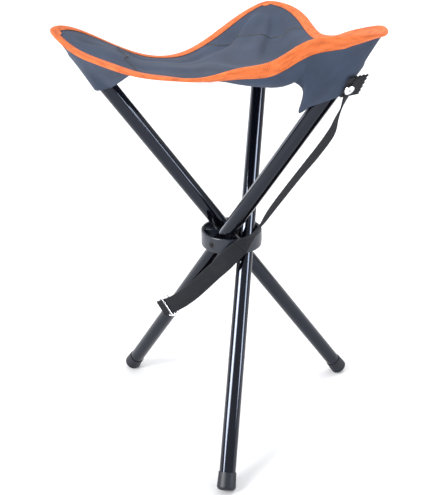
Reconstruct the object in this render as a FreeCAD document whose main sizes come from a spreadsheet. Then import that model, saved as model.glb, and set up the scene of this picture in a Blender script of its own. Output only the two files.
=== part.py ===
import FreeCAD, Part
import math
import os

Vector, Rotation, Placement = FreeCAD.Vector, FreeCAD.Rotation, FreeCAD.Placement
doc = FreeCAD.newDocument("three_leg_stool")

# The row frame: X to the sitter's right, Y to the back, Z up from the floor.
# The origin is on the floor, at the middle of the stool's outline.

# Driving dimensions in millimetres, and the tilt in degrees.
dims = {
    "hub_x": 9.5,  # the hub's axis from the origin
    "hub_y": -4.3,
    "hub_height": 247.0,  # floor to the plane of the three pivots
    "leg_tilt": 35.5,  # each leg from the vertical, with the stool open
    "pivot_offset": 18.5,  # hub axis to a leg's axis at its pivot
    "tube_radius": 9.5,
    "tube_wall": 1.0,
    "leg_up": 282.0,  # pivot to the top of the leg
    "leg_down": 298.7,  # pivot to the bottom of the foot cap
    "plug_head": 4.0,
    "plug_insert": 14.0,
    "cap_length": 20.0,
    "cap_floor": 4.5,
    "cap_top_radius": 10.3,
    "cap_sole_radius": 11.2,
    "ring_radius": 37.0,
    "ring_wall": 3.0,
    "ring_height": 19.5,
    "web_height": 13.0,
    "web_width": 3.0,
    "washer_thickness": 1.5,
    "washer_radius": 6.0,
    "boss_radius": 6.5,
    "screw_radius": 2.5,
    "screw_head_radius": 4.0,
    "screw_head_height": 2.4,
    "running_gap": 0.08,  # screw in its hole, on the radius
    "side_gap": 0.15,  # washer to tube, and washer to hub
    "pocket_mouth": 230.0,  # pivot to the open end of a corner pocket
    "pocket_mouth_radius": 15.5,
    "pocket_end_radius": 10.9,
    "cloth": 1.0,
    "tape_width": 12.0,
    "tape": 0.8,
    "corner_radius": 196.0,  # hub axis to the tip of a seat corner
    "corner_height": 256.0,  # pivot plane to the tip of a seat corner
    "strap_width": 22.0,
    "strap": 1.4,
    "wire_radius": 0.9,
}
sheet = doc.addObject("Spreadsheet::Sheet", "Dimensions")
for row, (alias, value) in enumerate(dims.items(), start=1):
    sheet.set(f"A{row}", alias)
    sheet.set(f"B{row}", str(value))
    sheet.setAlias(f"B{row}", alias)
doc.recompute()

hub_height = dims["hub_height"]
hub_centre = Vector(dims["hub_x"], dims["hub_y"], hub_height)
tilt = dims["leg_tilt"]
ring_inner = dims["ring_radius"] - dims["ring_wall"]
leg_inner_side = dims["pivot_offset"] - dims["tube_radius"]
leg_outer_side = dims["pivot_offset"] + dims["tube_radius"]
stack = dims["washer_thickness"] + 2 * dims["side_gap"]

# The azimuth of each leg's pivot. A leg is named after the seat corner that it carries.
legs = {"right": 240.0, "left": 120.0, "back": 0.0}


def leg_frame(azimuth):
    """Local X points out along the pivot, local Z up the leg."""
    turn = math.radians(azimuth)
    offset = dims["pivot_offset"]
    pivot = hub_centre + Vector(offset * math.cos(turn), offset * math.sin(turn), 0)
    rotation = Rotation(Vector(0, 0, 1), azimuth).multiply(Rotation(Vector(1, 0, 0), -tilt))
    return Placement(pivot, rotation)


def pivot_frame(azimuth, distance):
    """Local Z points out along the pivot, starting at that distance from the hub axis."""
    turn = math.radians(azimuth)
    start = hub_centre + Vector(distance * math.cos(turn), distance * math.sin(turn), 0)
    rotation = Rotation(Vector(0, 0, 1), azimuth).multiply(Rotation(Vector(0, 1, 0), 90))
    return Placement(start, rotation)


def make(kind, name, placement, **expressions):
    """A Part primitive whose sizes follow the spreadsheet."""
    solid = doc.addObject(kind, name)
    for size, expression in expressions.items():
        solid.setExpression(size, expression)
    solid.Placement = placement
    return solid


def cylinder(name, placement, radius, height):
    return make("Part::Cylinder", name, placement, Radius=radius, Height=height)


def cone(name, placement, bottom, top, height):
    return make("Part::Cone", name, placement, Radius1=bottom, Radius2=top, Height=height)


def cut(name, base, tool):
    result = doc.addObject("Part::Cut", name)
    result.Base, result.Tool = base, tool
    return result


def fuse(name, shapes):
    result = doc.addObject("Part::MultiFuse", name)
    result.Shapes = shapes
    return result


def fillet(name, base, radius, wanted):
    """Rounds the edges of base that wanted() picks by their middle point."""
    doc.recompute()
    result = doc.addObject("Part::Fillet", name)
    result.Base = base
    chosen = []
    for number, edge in enumerate(base.Shape.Edges, start=1):
        if wanted(edge):
            chosen.append((number, radius, radius))
    result.Edges = chosen
    return result


def feature(name, shape):
    result = doc.addObject("Part::Feature", name)
    result.Shape = shape
    return result


def is_circle(edge, radius):
    curve = edge.Curve
    return isinstance(curve, Part.Circle) and abs(curve.Radius - radius) < 0.01


def middle(height):
    return Placement(hub_centre - Vector(0, 0, height / 2), Rotation())


# Hub: one moulding with an outer ring, a three-sided core and three webs.


def hub_moulding():
    place = middle(dims["ring_height"])
    outer = cylinder("ring_outside", place, "Dimensions.ring_radius", "Dimensions.ring_height")
    inner = cylinder(
        "ring_inside", place, "Dimensions.ring_radius - Dimensions.ring_wall", "Dimensions.ring_height"
    )
    ring = cut("ring_blank", outer, inner)
    radii = (dims["ring_radius"], ring_inner)
    rounded = fillet("ring_rounded", ring, 1.2, lambda e: any(is_circle(e, r) for r in radii))
    flat = leg_inner_side - stack
    core = doc.addObject("Part::Prism", "core")
    core.Polygon = 3
    core.Circumradius = 2 * flat
    core.setExpression("Height", "Dimensions.web_height")
    web_low = hub_centre - Vector(0, 0, dims["web_height"] / 2)
    core.Placement = Placement(web_low, Rotation(Vector(0, 0, 1), 60))
    solids = [rounded, core]
    for number, azimuth in enumerate((60.0, 180.0, 300.0), start=1):
        web = doc.addObject("Part::Box", f"web_{number}")
        web.Length = ring_inner + 1.0
        web.setExpression("Width", "Dimensions.web_width")
        web.setExpression("Height", "Dimensions.web_height")
        turn = Rotation(Vector(0, 0, 1), azimuth)
        side = turn.multVec(Vector(0, -dims["web_width"] / 2, 0))
        web.Placement = Placement(web_low + side, turn)
        solids.append(web)
    boss_start = leg_outer_side + stack
    for name, azimuth in legs.items():
        boss_length = str(ring_inner + 1.0 - boss_start)
        place = pivot_frame(azimuth, boss_start)
        solids.append(cylinder(f"boss_{name}", place, "Dimensions.boss_radius", boss_length))
    blank = fuse("hub_blank", solids)
    holes = []
    for name, azimuth in legs.items():
        bore = cylinder(
            f"pivot_bore_{name}",
            pivot_frame(azimuth, 3.3),
            "Dimensions.screw_radius + Dimensions.running_gap",
            "Dimensions.ring_radius",
        )
        recess = cylinder(
            f"head_recess_{name}",
            pivot_frame(azimuth, dims["ring_radius"] - dims["screw_head_height"] - 0.9),
            "Dimensions.screw_head_radius + 0.3",
            "Dimensions.screw_head_height + 3",
        )
        holes += [bore, recess]
    return cut("hub", blank, fuse("hub_holes", holes))


# Pivot hardware: a screw through the ring, two washers and the leg, into the core.


def pivot_screws():
    screws = []
    head_seat = dims["ring_radius"] - dims["screw_head_height"] - 0.8
    shank_start = 3.6
    shank_length = str(head_seat + 0.5 - shank_start)
    for name, azimuth in legs.items():
        shank = cylinder(
            f"shank_{name}",
            pivot_frame(azimuth, shank_start),
            "Dimensions.screw_radius",
            shank_length,
        )
        head = cylinder(
            f"head_{name}",
            pivot_frame(azimuth, head_seat),
            "Dimensions.screw_head_radius",
            "Dimensions.screw_head_height",
        )
        socket = doc.addObject("Part::Prism", f"socket_{name}")
        socket.Polygon = 6
        socket.Circumradius = 2.3
        socket.Height = 4.0
        socket.Placement = pivot_frame(azimuth, head_seat + 0.9)
        screws.append(cut(f"screw_{name}", fuse(f"screw_blank_{name}", [shank, head]), socket))
    return group("pivot_screws", screws)


def pivot_washers():
    washers = []
    for name, azimuth in legs.items():
        starts = {
            "outer": leg_outer_side + dims["side_gap"],
            "inner": leg_inner_side - dims["side_gap"] - dims["washer_thickness"],
        }
        for side, start in starts.items():
            place = pivot_frame(azimuth, start)
            disc = cylinder(
                f"disc_{side}_{name}", place, "Dimensions.washer_radius", "Dimensions.washer_thickness"
            )
            bore = cylinder(
                f"disc_bore_{side}_{name}",
                place,
                "Dimensions.screw_radius + Dimensions.running_gap",
                "Dimensions.washer_thickness",
            )
            washers.append(cut(f"washer_{side}_{name}", disc, bore))
    return group("pivot_washers", washers)


def group(name, members):
    """Identical fasteners share one node, as separate solids."""
    result = doc.addObject("Part::Compound", name)
    result.Links = members
    return result


# Legs: a steel tube with a plug in its top and a cap on its foot.


def along(azimuth, station):
    frame = leg_frame(azimuth)
    return Placement(frame.multVec(Vector(0, 0, station)), frame.Rotation)


def leg_tube(name, azimuth):
    low = -dims["leg_down"] + dims["cap_floor"]
    length = "Dimensions.leg_up + Dimensions.leg_down - Dimensions.cap_floor - Dimensions.plug_head - 0.05"
    outside = cylinder(f"tube_outside_{name}", along(azimuth, low), "Dimensions.tube_radius", length)
    inside = cylinder(
        f"tube_inside_{name}", along(azimuth, low), "Dimensions.tube_radius - Dimensions.tube_wall", length
    )
    bore = cylinder(
        f"tube_bore_{name}",
        pivot_frame(azimuth, 0),
        "Dimensions.screw_radius + Dimensions.running_gap",
        "Dimensions.ring_radius",
    )
    return cut(f"leg_tube_{name}", outside, fuse(f"tube_holes_{name}", [inside, bore]))


def top_plug(name, azimuth):
    head_low = dims["leg_up"] - dims["plug_head"]
    head = cylinder(
        f"plug_head_{name}", along(azimuth, head_low), "Dimensions.tube_radius", "Dimensions.plug_head"
    )
    insert = cylinder(
        f"plug_insert_{name}",
        along(azimuth, head_low - dims["plug_insert"]),
        "Dimensions.tube_radius - Dimensions.tube_wall - 0.05",
        "Dimensions.plug_insert + 1",
    )
    top = leg_frame(azimuth).multVec(Vector(0, 0, dims["leg_up"]))
    blank = fuse(f"plug_blank_{name}", [head, insert])

    def at_top(edge):
        return is_circle(edge, dims["tube_radius"]) and edge.Curve.Center.distanceToPoint(top) < 0.1

    return fillet(f"top_plug_{name}", blank, 3.0, at_top)


def foot_cap(name, azimuth):
    end = along(azimuth, -dims["leg_down"])
    body = cone(
        f"cap_body_{name}",
        end,
        "Dimensions.cap_sole_radius",
        "Dimensions.cap_top_radius",
        "Dimensions.cap_length",
    )
    rounded = fillet(
        f"cap_rounded_{name}", body, 4.0, lambda e: is_circle(e, dims["cap_sole_radius"])
    )
    bore = cylinder(
        f"cap_bore_{name}",
        along(azimuth, -dims["leg_down"] + dims["cap_floor"] - 0.05),
        "Dimensions.tube_radius + 0.05",
        "Dimensions.cap_length",
    )
    below = doc.addObject("Part::Box", f"below_floor_{name}")
    below.Length, below.Width, below.Height = 60, 60, 20
    below.Placement = Placement(end.Base + Vector(-30, -30, -end.Base.z - 20), Rotation())
    return cut(f"foot_cap_{name}", rounded, fuse(f"cap_cuts_{name}", [bore, below]))


# Seat: a sagging three-cornered cloth, bound with tape along its edges.

# Each edge: how far its middle hangs, how far it bows out from the straight line, and its skew.
seat_edges = {
    ("right", "left"): {"hang": (19, 22), "bow": (62, -36), "skew": 15},
    ("left", "back"): {"hang": (9, 44), "bow": (56, -32), "skew": 24},
    ("back", "right"): {"hang": (-4, 30), "bow": (50, -45), "skew": -9},
}
# Waves in each edge, at even steps from its first corner: down from that curve, out from it,
# and how deep the cloth drops behind the edge.
level = (0, 0, 0, 0, 0, 0, 0, 0, 0, 0, 0)
edge_waves = {
    ("right", "left"): {
        "down": (0, -6, -12.5, -4, -5, -1, 0, 2, 3, 5, 0),
        "out": level,
        "roll": (0, 14, 22, 22, 16, 9, 4, 1, 0, 0, 0),
    },
    ("left", "back"): {"down": level, "out": level, "roll": (0, 0, 2, 4, 5, 5, 5, 4, 2, 0, 0)},
    ("back", "right"): {
        "down": (0, 0, 0, 0, 0, -2, -3, -5, -5, -4, 0),
        "out": (0, 8, 12, 12, 11, 8, 4, 0, 0, 0, 0),
        "roll": (0, 0, 3, 6, 7, 7, 8, 8, 5, 0, 0),
    },
}
roll_length = 18.0
roll_reach = 85.0
middle_drop = 12.0


def corner_tip(name):
    lean = math.degrees(math.atan2(185.8, 18.5))
    turn = math.radians(legs[name] + lean)
    reach = dims["corner_radius"]
    return hub_centre + Vector(
        reach * math.cos(turn), reach * math.sin(turn), dims["corner_height"]
    )


def wave(values, share):
    """A smooth curve through values at even steps from 0 to 1."""
    position = min(max(share, 0.0), 1.0) * (len(values) - 1)
    index = min(int(position), len(values) - 2)
    part = position - index
    before = values[index - 1] if index > 0 else 2 * values[0] - values[1]
    here, there = values[index], values[index + 1]
    after = values[index + 2] if index + 2 < len(values) else 2 * there - here
    slope_here, slope_there = (there - before) / 2, (after - here) / 2
    bend = slope_here + slope_there - 2 * (there - here)
    return here + part * (slope_here + part * (there - here - slope_here - bend + part * bend))


def seat_point(share):
    """share says how much of the point belongs to each corner, and adds up to 1."""
    point = Vector(0, 0, 0)
    for name, part in share.items():
        point += corner_tip(name) * part
    for (first, second), edge in seat_edges.items():
        a, b = share[first], share[second]
        inward = max(1 - a - b, 0.0)
        waves = edge_waves[first, second]
        along_edge = b / max(a + b, 1e-6)
        fade = (1 - inward) ** 4
        w = 4 * a * b
        chord = corner_tip(first) + corner_tip(second) - hub_centre * 2
        outward = Vector(chord.x, chord.y, 0).normalize()
        bow = edge["bow"][0] * w + edge["bow"][1] * w * w
        point += outward * (bow + wave(waves["out"], along_edge) * fade)
        hang = edge["hang"][0] * w + edge["hang"][1] * w * w + edge["skew"] * w * (b - a)
        distance = inward * 1.5 * dims["corner_radius"]
        roll = 1 - math.exp(-distance / roll_length)
        roll *= math.exp(-((distance / roll_reach) ** 2)) * wave(waves["roll"], along_edge)
        point.z -= hang + wave(waves["down"], along_edge) * fade + roll
    point.z -= middle_drop * 27 * share["right"] * share["left"] * share["back"]
    return point


def cloth_solid(rows, thickness):
    surface = Part.BSplineSurface()
    surface.interpolate(rows)
    return surface.toShape().extrude(Vector(0, 0, thickness))


def seat_panel():
    rows = []
    for step in range(31):
        spread = 0.035 + 0.965 * step / 30
        row = []
        for across in range(31):
            v = across / 30
            share = {"back": 1 - spread, "left": spread * v, "right": spread * (1 - v)}
            row.append(seat_point(share))
        rows.append(row)
    return feature("seat_panel", cloth_solid(rows, -dims["cloth"]))


def edge_tape(name, first, second):
    third = next(corner for corner in legs if corner not in (first, second))
    height = 1.5 * dims["corner_radius"]
    rows = []
    for inset in (0.0, 0.33, 0.67, 1.0):
        c = inset * dims["tape_width"] / height
        row = []
        for step in range(49):
            u = 0.05 + 0.90 * step / 48
            share = {first: (1 - c) * (1 - u), second: (1 - c) * u, third: c}
            row.append(seat_point(share) + Vector(0, 0, 0.4))
        rows.append(row)
    return feature(f"edge_tape_{name}", cloth_solid(rows, dims["tape"]))


def corner_pocket(name, azimuth):
    outside = cone(
        f"pocket_outside_{name}",
        along(azimuth, dims["pocket_mouth"]),
        "Dimensions.pocket_mouth_radius",
        "Dimensions.pocket_end_radius",
        "Dimensions.leg_up + 1.5 - Dimensions.pocket_mouth",
    )
    inside = cone(
        f"pocket_inside_{name}",
        along(azimuth, dims["pocket_mouth"] - 0.01),
        "Dimensions.pocket_mouth_radius - Dimensions.cloth",
        "Dimensions.pocket_end_radius - Dimensions.cloth",
        "Dimensions.leg_up + 0.5 - Dimensions.pocket_mouth",
    )
    return cut(f"corner_pocket_{name}", outside, inside)


def care_label():
    label = doc.addObject("Part::Box", "care_label")
    label.Length, label.Width, label.Height = 18.0, 0.6, 4.5
    near_middle_of_edge = seat_point({"right": 0.52, "left": 0.48, "back": 0.0})
    turn = Rotation(Vector(0, 0, 1), -6)
    label.Placement = Placement(near_middle_of_edge + Vector(-9, 1.5, -8.2), turn)
    return label


# Carry strap: a flat webbing riveted to the right pocket and looped round the right leg.

# Stations down the strap from its cut end, from the hub's centre: the middle of the webbing,
# its outward side, its width and its heading.
strap_stations = [
    ((138.9, -101.8, 212.8), (0.55, -0.62, -0.56), 22, (-0.50, 0.29, -0.81)),
    ((130.0, -96.6, 198.3), (0.55, -0.62, -0.56), 22, (-0.50, 0.29, -0.81)),
    ((126.5, -95.0, 188), (0.60, -0.58, -0.56), 8, (-0.48, 0.30, -0.82)),
    ((117, -86, 158), (0.63, -0.53, -0.57), 20, (-0.46, 0.26, -0.83)),
    ((88, -66, 110), (0.63, -0.53, -0.57), 22, (-0.50, 0.29, -0.81)),
    ((60, -51, 66), (0.64, -0.62, -0.45), 22, (-0.50, 0.29, -0.81)),
    ((28.5, -32.5, 15), (0.65, -0.76, 0.0), 22, (-0.55, -0.20, -0.80)),
    ((15.6, -37.1, 1), (0.39, -0.92, 0.0), 22, (-0.64, -0.27, -0.72)),
    ((1.5, -39.6, -13), (0.05, -0.99, -0.05), 22, (-0.66, 0.05, -0.75)),
    ((-22, -19, -46), (-0.05, -0.97, -0.23), 22, (-0.55, 0.46, -0.69)),
    ((-49, -1, -82), (-0.15, -0.97, -0.20), 22, (-0.62, 0.36, -0.69)),
    ((-80, 12.5, -118), (-0.24, -0.95, -0.19), 22, (-0.70, 0.26, -0.66)),
    ((-97, 19, -134), (-0.24, -0.95, -0.19), 22, (-0.74, 0.25, -0.62)),
]


def strap_corners(centre, outward, width, heading):
    centre = hub_centre + Vector(*centre)
    heading = Vector(*heading).normalize()
    outward = Vector(*outward)
    outward = (outward - heading * outward.dot(heading)).normalize()
    across = heading.cross(outward) * (width / 2)
    half = outward * (dims["strap"] / 2)
    return [
        centre + across + half,
        centre + across - half,
        centre - across - half,
        centre - across + half,
    ]


def triangle(a, b, c):
    return Part.Face(Part.makePolygon([a, b, c, a]))


def carry_strap():
    """Both broad faces are split along the same diagonal, so a twist keeps them apart."""
    sections = [strap_corners(*station) for station in strap_stations]
    first, last = sections[0][::-1], sections[-1]
    faces = [triangle(*end[:3]) for end in (first, last)]
    faces += [triangle(end[2], end[3], end[0]) for end in (first, last)]
    for here, there in zip(sections, sections[1:]):
        for corner in range(4):
            beside = (corner + 1) % 4
            if corner == 3:
                faces.append(triangle(here[corner], here[beside], there[corner]))
                faces.append(triangle(here[beside], there[beside], there[corner]))
            else:
                faces.append(triangle(here[corner], here[beside], there[beside]))
                faces.append(triangle(here[corner], there[beside], there[corner]))
    webbing = Part.Solid(Part.Shell(faces))
    if webbing.Volume < 0:
        webbing = webbing.reversed()
    return feature("carry_strap", webbing)


def strap_frame(number, lift):
    """Local X across the strap, local Y down it, local Z out of it."""
    centre, outward, width, heading = strap_stations[number]
    heading = Vector(*heading).normalize()
    outward = Vector(*outward)
    outward = (outward - heading * outward.dot(heading)).normalize()
    across = heading.cross(outward)
    rotation = Rotation(across, heading, outward, "ZXY")
    return Placement(hub_centre + Vector(*centre) + outward * lift, rotation)


def strap_rivet():
    place = strap_frame(0, dims["strap"] / 2 + 0.2)
    place.Base = place.multVec(Vector(4, 10, 0))
    dome = Part.makeCylinder(5.5, 1.6)
    dome = dome.makeFillet(0.7, [e for e in dome.Edges if is_circle(e, 5.5) and e.Curve.Center.z > 1])
    eye = Part.makeCylinder(2.0, 4, Vector(0, 0, 0.6))
    rivet = dome.cut(eye)
    rivet.Placement = place
    return feature("strap_rivet", rivet)


def strap_buckle():
    radius = dims["wire_radius"]
    half_width, half_length = 13.0, 8.0
    bars = []
    for y in (-half_length, 0.0, half_length):
        bars.append(Part.makeCylinder(radius, 2 * half_width, Vector(-half_width, y, 0), Vector(1, 0, 0)))
    for x in (-half_width, half_width):
        bars.append(Part.makeCylinder(radius, 2 * half_length, Vector(x, -half_length, 0), Vector(0, 1, 0)))
        for y in (-half_length, half_length):
            bars.append(Part.makeSphere(radius, Vector(x, y, 0)))
    frame = bars[0].multiFuse(bars[1:]).removeSplitter()
    place = strap_frame(11, dims["strap"] / 2 + radius + 0.3)
    place.Base = place.multVec(Vector(0, 11, 0))
    frame.Placement = place
    return feature("strap_buckle", frame)


# Every node, in the order of the assembly.
nodes = [hub_moulding(), pivot_screws(), pivot_washers()]
for corner, azimuth in legs.items():
    nodes += [
        leg_tube(corner, azimuth),
        top_plug(corner, azimuth),
        foot_cap(corner, azimuth),
        corner_pocket(corner, azimuth),
    ]
nodes += [
    seat_panel(),
    edge_tape("front", "right", "left"),
    edge_tape("left", "left", "back"),
    edge_tape("right", "back", "right"),
    care_label(),
    carry_strap(),
    strap_rivet(),
    strap_buckle(),
]
doc.recompute()

for thing in doc.Objects:
    problems = [state for state in thing.State if state in ("Invalid", "Error")]
    assert not problems, f"{thing.Name}: {problems}"
os.makedirs("parts", exist_ok=True)
for node in nodes:
    assert not node.Shape.isNull() and node.Shape.isValid(), f"{node.Label} isn't a valid shape"
    assert len(node.Shape.Solids) >= 1, f"{node.Label} has no solid"
    node.Shape.exportStep(f"parts/{node.Label}.step")
    box = node.Shape.BoundBox
    print(f"{node.Label}: {len(node.Shape.Solids)} solids, {node.Shape.Volume:.0f} mm3, z {box.ZMin:.1f} to {box.ZMax:.1f}")
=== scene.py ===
import math

import bpy
import numpy as np
from mathutils import Matrix, Vector


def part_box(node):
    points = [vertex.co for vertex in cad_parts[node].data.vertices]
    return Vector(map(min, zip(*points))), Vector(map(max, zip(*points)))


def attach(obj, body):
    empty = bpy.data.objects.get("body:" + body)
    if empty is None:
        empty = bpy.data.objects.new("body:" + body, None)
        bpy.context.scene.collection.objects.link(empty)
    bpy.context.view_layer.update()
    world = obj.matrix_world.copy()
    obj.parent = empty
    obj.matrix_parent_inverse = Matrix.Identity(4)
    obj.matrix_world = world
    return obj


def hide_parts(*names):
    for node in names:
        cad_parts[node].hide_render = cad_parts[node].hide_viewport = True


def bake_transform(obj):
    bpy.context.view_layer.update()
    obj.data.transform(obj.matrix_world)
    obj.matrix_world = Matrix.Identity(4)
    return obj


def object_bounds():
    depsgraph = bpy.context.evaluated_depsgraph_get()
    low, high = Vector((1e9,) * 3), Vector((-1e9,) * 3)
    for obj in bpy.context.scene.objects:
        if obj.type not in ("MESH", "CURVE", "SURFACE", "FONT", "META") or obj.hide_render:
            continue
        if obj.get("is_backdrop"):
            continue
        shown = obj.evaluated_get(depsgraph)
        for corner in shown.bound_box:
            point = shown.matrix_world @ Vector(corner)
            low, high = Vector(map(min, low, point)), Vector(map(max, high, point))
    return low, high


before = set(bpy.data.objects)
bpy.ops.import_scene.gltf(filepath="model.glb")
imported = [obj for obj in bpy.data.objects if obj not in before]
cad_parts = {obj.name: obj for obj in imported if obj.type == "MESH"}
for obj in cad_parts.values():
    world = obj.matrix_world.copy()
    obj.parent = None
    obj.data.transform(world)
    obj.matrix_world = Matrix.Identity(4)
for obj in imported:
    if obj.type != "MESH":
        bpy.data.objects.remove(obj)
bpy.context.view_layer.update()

# The row frame, in metres: X to the sitter's right, Y to the back, Z up from the floor.

# The azimuth of each leg's pivot. A leg is named after the seat corner that it carries.
legs = {"right": 240.0, "left": 120.0, "back": 0.0}
corners = ("right", "left", "back")
tilt = math.radians(35.5)
pivot_offset = 0.0185
tube_radius = 0.0095
low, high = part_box("hub")
hub_centre = (low + high) / 2
hub = np.array(hub_centre)


def leg_axes(name):
    """The pivot, the way out along it, the leg's direction up, and its underside."""
    turn = math.radians(legs[name])
    out = np.array([math.cos(turn), math.sin(turn), 0.0])
    side = np.array([-math.sin(turn), math.cos(turn), 0.0])
    up = side * math.sin(tilt) + np.array([0, 0, math.cos(tilt)])
    return hub + out * pivot_offset, out, up, np.cross(up, out)


def unit(vectors):
    return vectors / np.linalg.norm(vectors, axis=-1, keepdims=True)


# Camera and light.

# Where the camera stands from the hub's centre, in metres, and how it is turned, in degrees.
camera_place = Vector((0.1303, -0.8553, 0.3709))
camera_turn = (9.81, 24.10, -0.79)
focal_length = 55.83


def add_camera():
    azimuth, elevation, roll = (math.radians(angle) for angle in camera_turn)
    forward = Vector(
        (
            -math.sin(azimuth) * math.cos(elevation),
            math.cos(azimuth) * math.cos(elevation),
            -math.sin(elevation),
        )
    )
    level = Vector((math.cos(azimuth), math.sin(azimuth), 0))
    above = level.cross(forward)
    right = level * math.cos(roll) + above * math.sin(roll)
    up = above * math.cos(roll) - level * math.sin(roll)
    data = bpy.data.cameras.new("camera")
    data.lens = focal_length
    data.sensor_width = 36.0
    data.clip_start = 0.01
    camera = bpy.data.objects.new("camera", data)
    axes = Matrix((right, up, -forward)).transposed().to_4x4()
    camera.matrix_world = Matrix.Translation(hub_centre + camera_place) @ axes
    bpy.context.scene.collection.objects.link(camera)
    bpy.context.scene.camera = camera


def softbox(name, place, target, size, power, colour=(1, 1, 1), reflection_only=False):
    data = bpy.data.lights.new(name, "AREA")
    data.shape = "RECTANGLE"
    data.size, data.size_y = size
    data.energy = power
    data.color = colour
    light = bpy.data.objects.new(name, data)
    light.location = place
    light.rotation_euler = (Vector(target) - Vector(place)).to_track_quat("-Z", "Y").to_euler()
    light.visible_diffuse = not reflection_only
    bpy.context.scene.collection.objects.link(light)


def distant_light(name, towards, spread, strength):
    """A soft light so far away that it falls evenly on the whole floor."""
    data = bpy.data.lights.new(name, "SUN")
    data.energy = strength
    data.angle = math.radians(spread)
    light = bpy.data.objects.new(name, data)
    light.rotation_euler = Vector(towards).to_track_quat("Z", "Y").to_euler()
    bpy.context.scene.collection.objects.link(light)


pale_blue, cool_white = (0.8, 0.87, 1), (0.9, 0.94, 1)


def add_studio():
    """Even daylight, a weak fill, and two softboxes that show only as stripes in glossy paint."""
    middle = (0, 0, 0.3)
    distant_light("key", (-0.62, -0.6, 0.62), 22, 1.7)
    distant_light("top", (0.25, 0.35, 1.0), 50, 1.2)
    left_front = hub_centre + Vector((-1.45, -1.08, 0.92))
    softbox("left_front", left_front, hub_centre, (0.75, 1.3), 90, reflection_only=True)
    right_side = hub_centre + Vector((1.47, -0.35, 0.62))
    softbox("right_side", right_side, hub_centre, (0.4, 1.2), 30, cool_white, reflection_only=True)
    softbox("left_back", (-1.9, 1.2, 0.5), middle, (0.9, 1.2), 7, pale_blue)
    world = bpy.data.worlds.new("studio")
    world.use_nodes = True
    background = world.node_tree.nodes["Background"]
    background.inputs["Color"].default_value = (0.96, 0.97, 1.0, 1)
    background.inputs["Strength"].default_value = 0.72
    bpy.context.scene.world = world
    bpy.context.scene.view_settings.view_transform = "Standard"


def add_floor():
    """A white floor that runs out of sight."""
    mesh = bpy.data.meshes.new("floor")
    corners_xy = [(-30, -30), (30, -30), (30, 60), (-30, 60)]
    mesh.from_pydata([(x, y, 0) for x, y in corners_xy], [], [(0, 1, 2, 3)])
    floor = bpy.data.objects.new("floor", mesh)
    bpy.context.scene.collection.objects.link(floor)
    material = bpy.data.materials.new("floor_paper")
    material.use_nodes = True
    shader = material.node_tree.nodes["Principled BSDF"]
    shader.inputs["Base Color"].default_value = (1.0, 1.0, 1.0, 1)
    shader.inputs["Roughness"].default_value = 0.9
    mesh.materials.append(material)
    floor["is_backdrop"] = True


# Materials.


class Paint:
    """A node material with a few short ways to add texture."""

    def __init__(self, name, colour, roughness, **inputs):
        self.material = bpy.data.materials.new(name)
        self.material.use_nodes = True
        self.tree = self.material.node_tree
        self.shader = self.tree.nodes["Principled BSDF"]
        self.shader.inputs["Base Color"].default_value = (*colour, 1)
        self.shader.inputs["Roughness"].default_value = roughness
        for key, value in inputs.items():
            self.shader.inputs[key.replace("_", " ")].default_value = value
        self.height = None

    def node(self, kind, **settings):
        made = self.tree.nodes.new(kind)
        for key, value in settings.items():
            setattr(made, key, value)
        return made

    def link(self, source, target):
        self.tree.links.new(source, target)
        return self

    def coordinates(self, kind, scale=(1, 1, 1)):
        source = self.node("ShaderNodeTexCoord")
        mapping = self.node("ShaderNodeMapping")
        mapping.inputs["Scale"].default_value = scale
        self.link(source.outputs[kind], mapping.inputs["Vector"])
        return mapping.outputs["Vector"]

    def noise(self, where, scale, detail=3.0):
        texture = self.node("ShaderNodeTexNoise")
        texture.inputs["Scale"].default_value = scale
        texture.inputs["Detail"].default_value = detail
        self.link(where, texture.inputs["Vector"])
        return texture.outputs["Fac"]

    def bands(self, where, scale, direction, distortion=0.0):
        texture = self.node("ShaderNodeTexWave", bands_direction=direction)
        texture.inputs["Scale"].default_value = scale
        texture.inputs["Distortion"].default_value = distortion
        self.link(where, texture.inputs["Vector"])
        return texture.outputs["Fac"]

    def math(self, operation, first, second):
        made = self.node("ShaderNodeMath", operation=operation)
        for value, socket in ((first, made.inputs[0]), (second, made.inputs[1])):
            if isinstance(value, (int, float)):
                socket.default_value = value
            else:
                self.link(value, socket)
        return made.outputs[0]

    def ramp(self, source, stops):
        made = self.node("ShaderNodeValToRGB")
        elements = made.color_ramp.elements
        while len(elements) < len(stops):
            elements.new(0.5)
        for element, (position, colour) in zip(elements, stops):
            element.position = position
            element.color = (*colour, 1)
        self.link(source, made.inputs["Fac"])
        return made.outputs["Color"]

    def mix(self, amount, first, second, blend="MIX"):
        made = self.node("ShaderNodeMix", data_type="RGBA", blend_type=blend)
        sockets = (made.inputs[0], made.inputs[6], made.inputs[7])
        for value, socket in zip((amount, first, second), sockets):
            if isinstance(value, float):
                socket.default_value = value
            elif isinstance(value, tuple):
                socket.default_value = (*value, 1)
            else:
                self.link(value, socket)
        return made.outputs[2]

    def colour(self, source):
        self.link(source, self.shader.inputs["Base Color"])
        return self

    def roughness(self, source, least, most):
        spread = self.math("MULTIPLY", source, most - least)
        self.link(self.math("ADD", spread, least), self.shader.inputs["Roughness"])
        return self

    def bump(self, source, depth, strength=1.0):
        """depth is in metres. Bumps stack, from coarse to fine."""
        made = self.node("ShaderNodeBump")
        made.inputs["Distance"].default_value = depth
        made.inputs["Strength"].default_value = strength
        self.link(source, made.inputs["Height"])
        if self.height is not None:
            self.link(self.height, made.inputs["Normal"])
        self.height = made.outputs["Normal"]
        self.link(self.height, self.shader.inputs["Normal"])
        return self


def leg_paint():
    paint = Paint("gloss_black_paint", (0.003, 0.003, 0.005), 0.1, IOR=1.48)
    paint.shader.inputs["Specular Tint"].default_value = (0.72, 0.8, 1.0, 1)
    where = paint.coordinates("Object")
    mottle = paint.noise(where, 220)
    paint.roughness(mottle, 0.04, 0.09)
    paint.bump(mottle, 0.00004, 0.5)
    return paint.material


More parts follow.
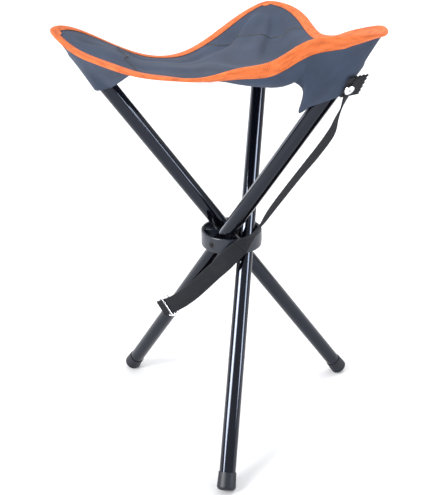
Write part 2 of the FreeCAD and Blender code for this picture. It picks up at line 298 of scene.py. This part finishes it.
def moulded(name, colour, least=0.4, most=0.55, shine=0.5):
    """Moulded plastic or dull metal, between the least and the most roughness."""
    paint = Paint(name, colour, 0.5, Specular_IOR_Level=shine)
    where = paint.coordinates("Object")
    speckle = paint.noise(where, 900, 2)
    cloud = paint.noise(where, 45, 4)
    darker = tuple(c * 0.75 for c in colour)
    paint.colour(paint.ramp(cloud, [(0.35, darker), (0.7, colour)]))
    paint.roughness(speckle, least, most)
    paint.bump(speckle, 0.00006, 0.6)
    return paint.material


def bright_wire():
    paint = Paint("bright_nickel", (0.82, 0.82, 0.84), 0.16, Metallic=1.0)
    where = paint.coordinates("Object")
    scratches = paint.noise(where, 700, 2)
    paint.roughness(scratches, 0.1, 0.28)
    paint.bump(scratches, 0.00003, 0.4)
    return paint.material


def woven(paint, where, threads, depth):
    """Adds a plain weave, with that many threads to the metre, and returns its height."""
    over = paint.bands(where, threads / 20 * math.pi, "X")
    under = paint.bands(where, threads / 20 * math.pi, "Y")
    weave = paint.math("MULTIPLY", over, under)
    paint.bump(weave, depth, 0.7)
    return weave


def seat_fabric():
    light, dark = (0.047, 0.071, 0.13), (0.026, 0.041, 0.073)
    paint = Paint("slate_polyester", light, 0.75, Sheen_Weight=0.04, Specular_IOR_Level=0.35)
    where = paint.coordinates("UV")
    cloud = paint.noise(where, 26, 4)
    slub = paint.noise(paint.coordinates("UV", (1, 7, 1)), 260, 3)
    base = paint.ramp(cloud, [(0.3, dark), (0.7, light)])
    streaky = paint.mix(paint.math("MULTIPLY", slub, 0.45), base, dark)
    paint.bump(cloud, 0.0012, 0.5)
    weave = woven(paint, where, 1500, 0.00014)
    shaded = paint.mix(paint.math("MULTIPLY", weave, 0.3), streaky, light)
    paint.colour(shaded)
    paint.roughness(slub, 0.62, 0.85)
    return paint.material


def binding_fabric():
    bright, deep, pale = (0.82, 0.165, 0.03), (0.5, 0.08, 0.014), (0.95, 0.29, 0.09)
    paint = Paint("orange_binding", bright, 0.8, Sheen_Weight=0.08, Specular_IOR_Level=0.3)
    where = paint.coordinates("UV")
    ribs = paint.bands(where, 1100 / 20 * math.pi, "X", 0.4)
    worn = paint.noise(where, 420, 3)
    patchy = paint.noise(paint.coordinates("UV", (1, 2.2, 1)), 90, 4)
    body = paint.ramp(patchy, [(0.3, deep), (0.52, bright), (0.8, pale)])
    fibres = paint.mix(paint.math("MULTIPLY", worn, 0.5), body, bright)
    paint.colour(paint.mix(paint.math("MULTIPLY", ribs, 0.25), fibres, pale))
    paint.bump(worn, 0.0005, 0.5)
    paint.bump(ribs, 0.0003, 0.8)
    return paint.material


def webbing_fabric():
    light, dark = (0.014, 0.018, 0.027), (0.004, 0.005, 0.008)
    paint = Paint("black_webbing", dark, 0.75, Specular_IOR_Level=0.25)
    where = paint.coordinates("UV")
    ribs = paint.bands(where, 700 / 20 * math.pi, "Y", 0.2)
    rows = paint.bands(where, 1100 / 20 * math.pi, "X")
    cloud = paint.noise(where, 60, 3)
    paint.colour(paint.mix(paint.math("MULTIPLY", ribs, cloud), dark, light))
    paint.bump(ribs, 0.0003, 0.8)
    paint.bump(rows, 0.0002, 0.6)
    return paint.material


def label_fabric():
    paint = Paint("white_label", (0.8, 0.76, 0.74), 0.8)
    where = paint.coordinates("Object")
    fray = paint.noise(where, 900, 3)
    paint.colour(paint.ramp(fray, [(0.35, (0.72, 0.6, 0.6)), (0.65, (0.86, 0.85, 0.84))]))
    paint.bump(fray, 0.0003, 0.7)
    return paint.material


# Meshes.


def new_piece(name, points, faces, material, uv=None, normals=None):
    mesh = bpy.data.meshes.new(name)
    mesh.from_pydata([tuple(p) for p in points], [], faces)
    mesh.materials.append(material)
    mesh.polygons.foreach_set("use_smooth", [True] * len(mesh.polygons))
    if uv is not None:
        layer = mesh.uv_layers.new(name="UVMap")
        where = np.zeros(len(mesh.loops), np.int32)
        mesh.loops.foreach_get("vertex_index", where)
        layer.data.foreach_set("uv", np.asarray(uv, np.float32)[where].ravel())
    mesh.update()
    if normals is not None:
        mesh.normals_split_custom_set_from_vertices([tuple(n) for n in normals])
    piece = bpy.data.objects.new(name, mesh)
    bpy.context.scene.collection.objects.link(piece)
    return piece


def quads(rows, columns, start=0, closed=False, flip=False):
    """The faces of a grid of points, row by row. closed joins the last column to the first."""
    faces = []
    for r in range(rows - 1):
        for c in range(columns if closed else columns - 1):
            after = (c + 1) % columns
            face = (
                start + r * columns + c,
                start + r * columns + after,
                start + (r + 1) * columns + after,
                start + (r + 1) * columns + c,
            )
            faces.append(face[::-1] if flip else face)
    return faces


def grid_normals(points):
    """The normals of a grid of points, on the side that faces up."""
    across = np.gradient(points, axis=1)
    down = np.gradient(points, axis=0)
    normals = unit(np.cross(down, across) + 1e-12)
    return normals * np.where(normals[..., 2:3].mean() < 0, -1, 1)


def two_sided(points, normals, thickness):
    """A closed cloth from one grid of points: its vertices, faces and normals."""
    rows, columns = points.shape[:2]
    top = points + normals * thickness / 2
    bottom = points - normals * thickness / 2
    size = rows * columns
    vertices = np.concatenate([top.reshape(-1, 3), bottom.reshape(-1, 3)])
    facing = np.concatenate([normals.reshape(-1, 3), -normals.reshape(-1, 3)])
    right, down = points[:-1, 1:] - points[:-1, :-1], points[1:, :-1] - points[:-1, :-1]
    outward = (np.cross(right, down) * normals[:-1, :-1]).sum() > 0
    faces = quads(rows, columns, 0, flip=not outward)
    faces += quads(rows, columns, size, flip=outward)
    rim = [(0, c) for c in range(columns)] + [(r, columns - 1) for r in range(1, rows)]
    rim += [(rows - 1, c) for c in range(columns - 2, -1, -1)]
    rim += [(r, 0) for r in range(rows - 2, 0, -1)]
    loop = [r * columns + c for r, c in rim]
    for here, there in zip(loop, loop[1:] + loop[:1]):
        face = (here, there, there + size, here + size)
        faces.append(face[::-1] if outward else face)
    return vertices, faces, facing


# The seat's shape. A point on it is given by how much of it belongs to each corner.

millimetre = 0.001
corner_radius, corner_height = 0.196, 0.2545
corner_stretch = {"right": (0.006, 0.005), "left": (0.0, 0.0), "back": (0.0, 0.0)}
corner_lean = math.atan2(185.8, 18.5)
seat_height = 1.5 * corner_radius
middle_drop = 12.0
seat_edges = {
    ("right", "left"): {"hang": (19, 22), "bow": (62, -36), "skew": 15},
    ("left", "back"): {"hang": (9, 44), "bow": (56, -32), "skew": 24},
    ("back", "right"): {"hang": (-4, 30), "bow": (50, -45), "skew": -9},
}
# Waves in each edge, in mm, at even steps from its first corner: down from that curve, out from
# it, and how deep the cloth drops behind the edge.
level = (0,) * 11
edge_waves = {
    ("right", "left"): {
        "down": (0, -6, -12.5, -4, -5, -1, 0, 2, 3, 5, 0),
        "out": level,
        "roll": (2, 20, 30, 28, 20, 10, 4, 1, 0, 0, 0),
    },
    ("left", "back"): {
        "down": level,
        "out": level,
        "roll": (0, 0, 2, 4, 5, 5, 5, 4, 2, 0, 0),
    },
    ("back", "right"): {
        "down": (0, 0, 0, 0, 0, -2, -3, -5, -5, -4, 0),
        "out": (0, 8, 12, 12, 11, 8, 4, 0, 0, 0, 0),
        "roll": (0, 0, 3, 6, 7, 7, 8, 9, 7, 3, 0),
    },
}
# How far in, in mm, the drop takes to form and to die away.
roll_length = 9.0
roll_reach = 85.0


def corner_tip(name):
    """The point of one seat corner, with how far it is pulled out and up."""
    turn = math.radians(legs[name]) + corner_lean
    outward, upward = corner_stretch[name]
    spread = Vector((math.cos(turn), math.sin(turn), 0)) * (corner_radius + outward)
    return np.array(hub_centre + spread + Vector((0, 0, corner_height + upward)))


def smooth_steps(values, share):
    """A smooth curve through values at even steps from 0 to 1."""
    values = np.array(values, float)
    position = np.clip(share, 0, 1) * (len(values) - 1)
    index = np.clip(position.astype(int), 0, len(values) - 2)
    part = position - index
    padded = np.concatenate([[2 * values[0] - values[1]], values, [2 * values[-1] - values[-2]]])
    a, b, c, d = (padded[index + k] for k in range(4))
    slope = (c - a) / 2
    square = a - 2.5 * b + 2 * c - d / 2
    cube = 1.5 * (b - c) + (d - a) / 2
    return b + part * (slope + part * (square + part * cube))


def seat_points(share):
    """The middle of the cloth. The last axis of share is its parts for right, left and back."""
    tips = np.array([corner_tip(name) for name in corners])
    points = share @ tips
    for (first, second), edge in seat_edges.items():
        i, j = corners.index(first), corners.index(second)
        k = 3 - i - j
        a, b, inward = share[..., i], share[..., j], share[..., k]
        w = 4 * a * b
        chord = tips[i] + tips[j] - 2 * hub
        outward = unit(np.array([chord[0], chord[1], 0.0]))
        along = b / np.maximum(a + b, 1e-6)
        shapes = edge_waves[first, second]
        waves = {key: smooth_steps(steps, along) for key, steps in shapes.items()}
        fade = np.clip(1 - inward, 0, 1) ** 4
        bow = edge["bow"][0] * w + edge["bow"][1] * w * w + waves["out"] * fade
        points = points + outward * bow[..., None] * millimetre
        hang = edge["hang"][0] * w + edge["hang"][1] * w * w + edge["skew"] * w * (b - a)
        hang = hang + waves["down"] * fade
        distance = np.maximum(inward, 0) * seat_height / millimetre
        roll = waves["roll"] * (1 - np.exp(-distance / roll_length))
        roll = roll * np.exp(-((distance / roll_reach) ** 2))
        points[..., 2] -= (hang + roll) * millimetre
    points[..., 2] -= middle_drop * 27 * share.prod(-1) * millimetre
    points[..., 2] += creases(share) * millimetre
    return points


# Folds that run from each corner towards the middle: how high in mm, how many, and their turn.
corner_folds = {"right": (3.8, 6.0, 0.4), "left": (3.2, 5.0, 1.9), "back": (6.0, 6.5, 0.9)}
slack_height = 2.2


def creases(share):
    """Folds and slack in the cloth, in mm. They die away at the rim and over the legs' tops."""
    total = np.zeros(share.shape[:-1])
    for i, name in enumerate(corners):
        near, b, c = share[..., i], share[..., (i + 1) % 3], share[..., (i + 2) % 3]
        place = (b - c) / np.maximum(np.abs(b + c), 1e-3)
        height, number, turn = corner_folds[name]
        reach = np.clip((near - 0.30) / 0.25, 0, 1) * np.clip((0.93 - near) / 0.12, 0, 1)
        wave = np.sin(number * place + turn + 2.0 * near)
        wave = wave + 0.4 * np.sin(2.3 * number * place - turn)
        total += height * np.tanh(1.6 * wave) / 1.2 * reach * reach * (3 - 2 * reach)
    edge = np.clip(np.min(share, -1) / 0.09, 0, 1)
    u, v = share[..., 0] - share[..., 1], share[..., 2]
    slack = np.sin(9 * u + 5 * v + 1) + 0.7 * np.sin(15 * v - 7 * u) + 0.5 * np.sin(21 * u + 11 * v)
    return (total + slack_height * slack) * edge * edge * (3 - 2 * edge)


corner_round = 0.02
usual_binding = 0.72


def rim_share(name, t):
    """The rim round one corner. t is -0.5 at the middle of one edge and 0.5 at that of the next."""
    t = np.asarray(t, float)
    distance = np.abs(t)
    rounding = (np.sqrt(t * t + corner_round**2) - distance) / 2 * (1 - 4 * t * t) ** 2
    i = corners.index(name)
    share = np.zeros(t.shape + (3,))
    share[..., (i + 2) % 3] = np.maximum(-t, 0) + rounding
    share[..., (i + 1) % 3] = np.maximum(t, 0) + rounding
    share[..., i] = 1 - share.sum(-1)
    return share


def inward_share(name, t):
    """The direction, as a change of share, that leads inwards from the rim."""
    i = corners.index(name)
    before, after = np.zeros(3), np.zeros(3)
    before[[i, (i + 2) % 3, (i + 1) % 3]] = (-0.5, -0.5, 1)
    after[[i, (i + 1) % 3, (i + 2) % 3]] = (-0.5, -0.5, 1)
    t = np.asarray(t, float)
    lean = (t / np.sqrt(t * t + (1.5 * corner_round) ** 2))[..., None]
    return before * (1 - lean) / 2 + after * (1 + lean) / 2


def rim_strip(name, t, distances):
    """Points and normals on the cloth at those distances in from the rim, along the cloth."""
    distances = np.broadcast_to(distances, (len(t), np.shape(distances)[-1]))
    reach = np.linspace(0, 2.6 * distances.max(), 70) / seat_height
    inwards = inward_share(name, t)[:, None, :] * reach[None, :, None]
    share = rim_share(name, t)[:, None, :] + inwards
    points = seat_points(share)
    normals = grid_normals(points)
    steps = np.linalg.norm(np.diff(points, axis=1), axis=-1)
    lengths = np.concatenate([np.zeros((len(t), 1)), np.cumsum(steps, axis=1)], axis=1)
    strip = np.zeros((*distances.shape, 3))
    facing = np.zeros_like(strip)
    for row in range(len(t)):
        for axis in range(3):
            strip[row, :, axis] = np.interp(distances[row], lengths[row], points[row, :, axis])
            facing[row, :, axis] = np.interp(distances[row], lengths[row], normals[row, :, axis])
    return strip, unit(facing)


def binding_share(name, t):
    """How much of its full width the binding shows: more round the right corner."""
    if name != "right":
        return np.full(len(t), usual_binding)
    far = np.clip((np.abs(t) - 0.30) / 0.18, 0, 1)
    return 1 - (1 - usual_binding) * far * far * (3 - 2 * far)


def follow_leg(piece):
    """Bakes the piece's placement into its mesh."""
    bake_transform(piece)


cloth = 0.001
# The seat's corners when it lies flat, in metres.
flat_corners = np.array([[0.17, -0.098], [-0.17, -0.098], [0.0, 0.196]])


def seat_cloth(name, fabric):
    """One corner's third of the seat cloth, from the rim to the middle of the seat."""
    count = 61
    steps = np.linspace(0, 1, count)
    ease = steps**1.15
    first_edge = rim_share(name, -ease / 2)
    second_edge = rim_share(name, ease / 2)
    middle = np.full(3, 1 / 3)
    first_inner = first_edge[-1] + (middle - first_edge[-1]) * steps[:, None]
    second_inner = second_edge[-1] + (middle - second_edge[-1]) * steps[:, None]
    tip = first_edge[0]
    p, q = steps[:, None, None], steps[None, :, None]
    share = (
        (1 - q) * first_edge[:, None, :]
        + q * second_inner[:, None, :]
        + (1 - p) * second_edge[None, :, :]
        + p * first_inner[None, :, :]
        - (1 - p) * (1 - q) * tip
        - p * (1 - q) * first_edge[-1]
        - (1 - p) * q * second_edge[-1]
        - p * q * middle
    )
    points = seat_points(share)
    normals = surface_normals(share)
    vertices, faces, facing = two_sided(points, normals, cloth)
    flat = share @ flat_corners
    uv = np.concatenate([flat.reshape(-1, 2)] * 2)
    piece = new_piece(f"seat_cloth_{name}", vertices, faces, fabric, uv, facing)
    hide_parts("seat_panel")
    follow_leg(piece)


def surface_normals(share):
    """The seat's upward normals, from small steps either side of each point."""
    step = 0.0015
    along = np.array([1.0, -1.0, 0.0]) * step
    across = np.array([-0.5, -0.5, 1.0]) * step
    u = seat_points(share + along) - seat_points(share - along)
    v = seat_points(share + across) - seat_points(share - across)
    normals = unit(np.cross(u, v))
    return normals * np.where(normals[..., 2:3] < 0, -1, 1)


# Binding: a tape folded over the rim. Its section is given as distance in from the rim and height
# above the cloth, in mm.

tape_outside = [
    (14.9, 0.72), (15.0, 1.15), (14.3, 1.5), (13.2, 1.45), (12.6, 1.2), (12.0, 1.45),
    (9.0, 1.75), (5.0, 1.85), (1.5, 1.75), (-0.2, 1.35), (-1.1, 0.7), (-1.35, 0.0),
]
tape_inside = [(-0.45, 0.0), (0.1, 0.62), (7.0, 0.66), (14.5, 0.66)]


def seat_binding(name, fabric):
    """The tape round one corner, from the middle of one edge to the middle of the next."""
    upper = tape_outside[:-1]
    outside = upper + [tape_outside[-1]] + [(d, -h) for d, h in upper[::-1]]
    lower_inside = [(d, -h) for d, h in tape_inside[1:]][::-1]
    profile = outside + lower_inside + tape_inside
    count = 181
    s = np.linspace(-1, 1, count)
    t = np.sign(s) * np.abs(s) ** 1.35 / 2
    wanted = sorted({max(d, 0) for d, _ in profile})
    share = binding_share(name, t)[:, None]
    strip, facing = rim_strip(name, t, np.array(wanted) * millimetre * share)
    along = np.gradient(strip[:, 0], axis=0)
    outward = unit(np.cross(along, facing[:, 0]))
    inwards = unit(strip[:, -1] - strip[:, 0])
    outward *= np.sign(-(outward * inwards).sum(-1, keepdims=True))
    length = np.concatenate([[0], np.cumsum(np.linalg.norm(np.diff(strip[:, 0], axis=0), axis=-1))])
    points = np.zeros((count, len(profile), 3))
    for column, (distance, height) in enumerate(profile):
        at = wanted.index(max(distance, 0))
        points[:, column] = strip[:, at] + facing[:, at] * height * millimetre
        points[:, column] += outward * max(-distance, 0) * millimetre
    around = np.cumsum([0] + [math.dist(a, b) for a, b in zip(profile, profile[1:])]) * millimetre
    uv = np.stack(np.broadcast_arrays(length[:, None], around[None, :]), -1)
    faces = quads(count, len(profile), closed=True)
    faces.append(tuple(range(len(profile)))[::-1])
    faces.append(tuple((count - 1) * len(profile) + c for c in range(len(profile))))
    vertices = points.reshape(-1, 3)
    piece = new_piece(f"seat_binding_{name}", vertices, faces, fabric, uv.reshape(-1, 2))
    edges = {"right": ("front", "right"), "left": ("front", "left"), "back": ("left", "right")}
    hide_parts(*(f"edge_tape_{edge}" for edge in edges[name]))
    follow_leg(piece)


# Pockets: a funnel of cloth from the binding down to a hem round the tube.

pocket_span = 0.29
pocket_drop = 0.0013
tube_clearance = 0.0013
plug_top = 0.283
# Each hem from one rim end to the other, in mm: how far up the leg, sideways, and to its underside.
pocket_hems = {
    "right": [
        (256, -20, -5), (260, -12, 2), (257, -7, 10), (254, 1, 12.5),
        (245, 8, 9), (223, 11, -4), (206, 7, -12), (233, 15, -20),
    ],
    "left": [
        (237, -20, -4), (237, -11, 2), (240, -6, 11), (242, 0, 13),
        (243, 6, 11), (243, 12, 2), (240, 22, -4),
    ],
    "back": [
        (236, -22, -5), (236, -12, 2), (236, -6, 11), (236, 0, 13),
        (236, 6, 11), (236, 12, 2), (236, 22, -5),
    ],
}


def corner_pocket(name, fabric):
    """One corner's pocket, in straight lines from the rim to its hem, and then smoothed."""
    pivot, out, up, under = leg_axes(name)
    columns, rows = 97, 33
    t = np.linspace(-pocket_span, pocket_span, columns)
    share = binding_share(name, t)[:, None]
    strip, facing = rim_strip(name, t, np.array([0.0, 0.005, 0.0148]) * share)
    # At the tip of the corner the pocket starts nearer to the rim.
    aside = np.clip(np.abs(t) / 0.12, 0, 1)[:, None]
    rim = strip[:, 1] * (1 - aside) + strip[:, 2] * aside - facing[:, 1] * pocket_drop
    side = np.sign((rim[-1] - pivot) @ out)
    stations = [
        pivot + (up * height + out * side * sideways + under * below) * millimetre
        for height, sideways, below in pocket_hems[name]
    ]
    hem = spline([rim[0], *stations, rim[-1]], columns)
    v = np.linspace(0, 1, rows)[:, None, None]
    points = rim[None] * (1 - v) + hem[None] * v
    points = clear_of_tube(points, pivot, out, up, under)
    normals = grid_normals(points)
    away = points - (pivot + up * ((points - pivot) @ up)[..., None])
    flip = np.where((normals * away).sum(-1).mean() < 0, -1, 1)
    vertices, faces, direction = two_sided(points, normals * flip, cloth)
    length = np.linspace(-0.13, 0.13, columns)[None, :] * np.ones((rows, 1))
    uv = np.stack([length, v[..., 0] * np.ones((1, columns)) * 0.08], -1).reshape(-1, 2)
    uv = np.concatenate([uv, uv])
    piece = new_piece(f"pocket_cloth_{name}", vertices, faces, fabric, uv, direction)
    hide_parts(f"corner_pocket_{name}")
    follow_leg(piece)


def clear_of_tube(points, pivot, out, up, under):
    """Smooths the pocket and holds it off the tube."""
    wanted = tube_radius + tube_clearance
    for _ in range(12):
        inner = points[1:-1, 1:-1]
        around = points[:-2, 1:-1] + points[2:, 1:-1] + points[1:-1, :-2] + points[1:-1, 2:]
        points[1:-1, 1:-1] = inner * 0.5 + around / 8
        height = (points - pivot) @ up
        x, y = (points - pivot) @ out, (points - pivot) @ under
        radius = np.hypot(x, y)
        beyond = np.clip((height - plug_top) / 0.006, 0, 1)
        short = np.clip(wanted - radius, 0, None) * (1 - beyond)
        push = (out * x[..., None] + under * y[..., None]) / np.maximum(radius, 1e-6)[..., None]
        points = points + push * short[..., None]
    return points


# Carry strap. Stations from its upper end: the middle of the webbing from the hub's centre, in mm,
# and the way across it.

strap_width, strap_thickness = 0.022, 0.0014
strap_steps = 97
upper_strap = [
    ((139.5, -102.5, 216.0), (-0.67, -0.73, 0.15)),
    ((134.0, -99.0, 206.0), (-0.67, -0.73, 0.15)),
    ((129.5, -96.6, 197.5), (-0.55, -0.83, 0.12)),
    ((126.5, -95.0, 188.0), (-0.10, -0.96, 0.20)),
    ((122.5, -91.0, 175.0), (0.14, -0.95, 0.30)),
    ((117.0, -86.0, 158.0), (0.27, -0.96, 0.12)),
    ((104.0, -77.0, 135.0), (0.30, -0.95, 0.15)),
    ((88.0, -66.0, 110.0), (0.30, -0.93, 0.20)),
    ((60.0, -51.0, 66.0), (0.28, -0.94, 0.20)),
    ((43.0, -41.5, 38.0), (0.20, -0.95, 0.25)),
    ((28.5, -33.5, 15.0), (-0.12, -0.80, 0.58)),
    ((15.6, -38.0, 1.0), (-0.60, -0.28, 0.74)),
]
lower_strap = [
    ((15.6, -38.0, 1.0), (-0.60, -0.28, 0.74)),
    ((1.5, -40.2, -13.0), (-0.72, -0.07, 0.69)),
    ((-10.0, -31.0, -29.0), (-0.80, -0.10, 0.60)),
    ((-22.0, -19.0, -45.0), (-0.81, -0.10, 0.58)),
    ((-49.0, -1.0, -79.0), (-0.74, -0.02, 0.67)),
    ((-66.0, 8.0, -97.0), (-0.60, 0.00, 0.80)),
    ((-78.0, 13.0, -107.0), (-0.40, 0.00, 0.92)),
    ((-90.0, 17.5, -115.0), (-0.33, 0.00, 0.94)),
    ((-99.0, 21.5, -121.0), (-0.33, 0.00, 0.94)),
]


def spline(values, count):
    """Points along a smooth curve through values, which may have any number of parts each."""
    values = np.array(values, float)
    steps = np.linspace(0, 1, count)
    columns = [smooth_steps(values[:, k], steps) for k in range(values.shape[1])]
    return np.stack(columns, -1)


def ribbon(stations, count):
    """The middle, the way across and the face of a webbing, at even steps."""
    centre = hub + spline([c for c, _ in stations], count) * millimetre
    across = unit(spline([a for _, a in stations], count))
    heading = unit(np.gradient(centre, axis=0))
    across = unit(across - heading * (across * heading).sum(-1, keepdims=True))
    return centre, across, unit(np.cross(across, heading))


def webbing_piece(name, centre, across, face, fabric, widths):
    """A closed flat webbing with slightly thinner edges."""
    profile = [
        (-0.5, 0.25), (-0.44, 0.5), (-0.2, 0.5), (0.0, 0.5), (0.2, 0.5), (0.44, 0.5), (0.5, 0.25),
    ]
    profile += [(w, -h) for w, h in profile[::-1]]
    columns = [
        centre + across * (w * widths)[:, None] + face * h * strap_thickness for w, h in profile
    ]
    points = np.stack(columns, 1)
    length = np.concatenate([[0], np.cumsum(np.linalg.norm(np.diff(centre, axis=0), axis=-1))])
    over = np.array([w * strap_width for w, _ in profile])
    uv = np.stack(np.broadcast_arrays(over[None, :], length[:, None]), -1).reshape(-1, 2)
    count, size = len(centre), len(profile)
    faces = quads(count, size, closed=True)
    faces.append(tuple(range(size))[::-1])
    faces.append(tuple((count - 1) * size + c for c in range(size)))
    return new_piece(name, points.reshape(-1, 3), faces, fabric, uv)


def follow_strap(piece):
    """Bakes the webbing's placement into its mesh."""
    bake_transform(piece)


# Distances along the strap from the hub, in metres: up to the tab, and down.
reach_up, reach_down = 0.16, -0.12


def strap_patch(fabric):
    """The tab at the strap's upper end, cut with pinking shears on three sides. Sizes in mm."""
    half_width, length, tooth, teeth = 11.5, 25.0, 1.3, 10
    front, back = 0.1, -1.9
    left_of_strap, above_strap = 1.0, 2.0
    at = 3
    outline = [(-half_width, length)]
    sides = (
        ((-half_width, length), (-half_width, 0.0), (1, 0)),
        ((-half_width, 0.0), (half_width, 0.0), (0, 1)),
        ((half_width, 0.0), (half_width, length), (-1, 0)),
    )
    for (x0, y0), (x1, y1), (inx, iny) in sides:
        for k in range(1, teeth + 1):
            cut = tooth if k % 2 else -0.3
            x, y = x0 + (x1 - x0) * k / teeth, y0 + (y1 - y0) * k / teeth
            outline.append((x + inx * cut, y + iny * cut))
    centre, across, face = ribbon(upper_strap, strap_steps)
    down = np.array([0.0, 0.05, -1.0])
    down = unit(down - face[at] * (down @ face[at]))
    sideways = np.cross(down, face[at])
    sideways *= np.sign(sideways @ across[at])
    points = []
    for lift in (front, back):
        for x, y in outline:
            flat = sideways * (x - left_of_strap) + down * (y - above_strap)
            points.append(centre[0] + (flat + face[at] * lift) * millimetre)
    size = len(outline)
    faces = [tuple(range(size)), tuple(range(2 * size - 1, size - 1, -1))]
    faces += [(k, size + k, size + (k + 1) % size, (k + 1) % size) for k in range(size)]
    uv = np.array([(x * millimetre, y * millimetre) for x, y in outline] * 2)
    piece = new_piece("strap_patch", points, faces, fabric, uv)
    for polygon in piece.data.polygons:
        polygon.use_smooth = False
    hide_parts("carry_strap")
    follow_strap(piece)


def carry_strap(fabric):
    """The strap in two lengths. The upper one is gathered narrow where it enters the tab."""
    gathered = np.interp(np.linspace(0, 1, strap_steps), (0, 0.22, 0.42), (0.32, 0.42, 1))
    even = np.ones(strap_steps)
    for label, stations, reach, share in (
        ("upper", upper_strap, reach_up, gathered),
        ("lower", lower_strap, reach_down, even),
    ):
        centre, across, face = ribbon(stations, strap_steps)
        piece = webbing_piece(f"strap_{label}", centre, across, face, fabric, strap_width * share)
        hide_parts("carry_strap")
        follow_strap(piece)


# Buckle: bent wire, with its middle bar over the webbing and its two outer bars under it.

wire_radius = 0.0009
wire_sides = 16
# Where the buckle is, of the steps down the lower strap.
buckle_step = 82


def wire(name, path, material):
    """A round wire along a path, with rounded ends."""
    path = np.array(path, float)
    heading = unit(np.gradient(path, axis=0))
    start = np.cross(heading[0], (0.3, 0.5, 0.8))
    side = [start / np.linalg.norm(start)]
    for way in heading[1:]:
        turned = side[-1] - way * (side[-1] @ way)
        side.append(turned / np.linalg.norm(turned))
    side = np.array(side)
    other = np.cross(heading, side)
    around = np.linspace(0, 2 * np.pi, wire_sides + 1)[:-1]
    cosine, sine = np.cos(around)[None, :, None], np.sin(around)[None, :, None]
    ring = cosine * side[:, None] + sine * other[:, None]
    radius = np.full(len(path), wire_radius)
    radius[[0, -1]] *= 0.6
    points = path[:, None] + ring * radius[:, None, None]
    faces = quads(len(path), wire_sides, closed=True)
    faces.append(tuple(range(wire_sides))[::-1])
    faces.append(tuple((len(path) - 1) * wire_sides + c for c in range(wire_sides)))
    return new_piece(name, points.reshape(-1, 3), faces, material)


def buckle(material):
    """A bar over the webbing and a bent loop whose ends meet it. Sizes in mm."""
    centre, across, face = ribbon(lower_strap, strap_steps)
    middle, x, z = centre[buckle_step], across[buckle_step], face[buckle_step]
    outwards = np.array([0.2, -1.0, 0.4])
    z = z * np.sign(z @ outwards)
    y = unit(centre[buckle_step + 1] - centre[buckle_step - 1])
    half_width, half_length, lift, bend = 14.0, 7.5, 2.0, 1.5
    bar = [(w, 0.0, lift) for w in np.linspace(-half_width, half_width, 25)]
    loop = []
    for across_way, down_way, turn in ((1, 1, 0), (-1, 1, 90), (-1, -1, 180), (1, -1, 270)):
        for angle in np.radians(np.linspace(turn, turn + 90, 7)):
            u = across_way * (half_width - bend) + bend * math.cos(angle)
            v = down_way * (half_length - bend) + bend * math.sin(angle)
            loop.append((u, v, -lift))
    loop.append(loop[0])
    smooth = spline(loop, 140)
    sides = 1 - np.clip((np.abs(smooth[:, 1]) - 2.0) / 4.5, 0, 1)
    smooth[:, 2] = -lift + 2 * lift * sides * (np.abs(smooth[:, 0]) > half_width - 2.0)
    for label, shape in (("bar", bar), ("loop", smooth)):
        shape = np.array(shape) * millimetre
        path = middle + shape[:, :1] * x + shape[:, 1:2] * y + shape[:, 2:] * z
        piece = wire(f"buckle_{label}", path, material)
        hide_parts("strap_buckle")
        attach(piece, "leg_right")


# Stitching: a raised seam across each corner, where its pocket is sewn under the seat cloth.

# How far from the corner the seam runs, as a share, and its section: offset, and height in metres.
seam_depth = 0.31
seam_section = (
    (-0.0042, 0.0005),
    (-0.002, 0.0011),
    (0.0, 0.0013),
    (0.002, 0.0011),
    (0.0042, 0.0005),
)


def corner_seam(name, material):
    """A slightly wavering raised strip, from near one edge to near the other."""
    i = corners.index(name)
    before, after = (i + 2) % 3, (i + 1) % 3
    count = 121
    spread = np.linspace(0.09, 0.91, count)
    depth = seam_depth + 0.009 * np.sin(spread * 15) + 0.004 * np.sin(spread * 33 + 1)
    rows = []
    for offset, height in seam_section:
        share = np.zeros((count, 3))
        share[:, i] = 1 - depth - offset
        share[:, before] = (depth + offset) * (1 - spread)
        share[:, after] = (depth + offset) * spread
        rows.append(seat_points(share) + surface_normals(share) * height)
    points = np.array(rows)
    normals = grid_normals(points)
    vertices, faces, direction = two_sided(points, normals, 0.0004)
    piece = new_piece(f"corner_seam_{name}", vertices, faces, material, None, direction)
    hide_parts("seat_panel")
    follow_leg(piece)


# Everything in place.

add_camera()
add_studio()
add_floor()

slate = seat_fabric()
orange = binding_fabric()
webbing = webbing_fabric()
finishes = {
    "hub": moulded("slate_nylon", (0.015, 0.022, 0.038), least=0.24, most=0.36),
    "pivot_screws": moulded("black_oxide", (0.012, 0.012, 0.013), least=0.3, most=0.45),
    "pivot_washers": moulded("washer_nylon", (0.03, 0.03, 0.032)),
    "strap_rivet": bright_wire(),
    "strap_buckle": bright_wire(),
    "care_label": label_fabric(),
}
paint = leg_paint()
rubber = moulded("cap_rubber", (0.012, 0.016, 0.025), shine=0.3)
plug = moulded("plug_plastic", (0.02, 0.02, 0.022))
for name in corners:
    finishes[f"leg_tube_{name}"] = paint
    finishes[f"foot_cap_{name}"] = rubber
    finishes[f"top_plug_{name}"] = plug
for node, material in finishes.items():
    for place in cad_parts[node].material_slots:
        place.material = material

for name in corners:
    seat_cloth(name, slate)
    seat_binding(name, orange)
    corner_pocket(name, slate)
carry_strap(webbing)
strap_patch(webbing)
buckle(bright_wire())
thread = moulded("grey_thread", (0.024, 0.032, 0.052), least=0.6, most=0.8)
for name in corners:
    corner_seam(name, thread)

low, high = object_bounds()
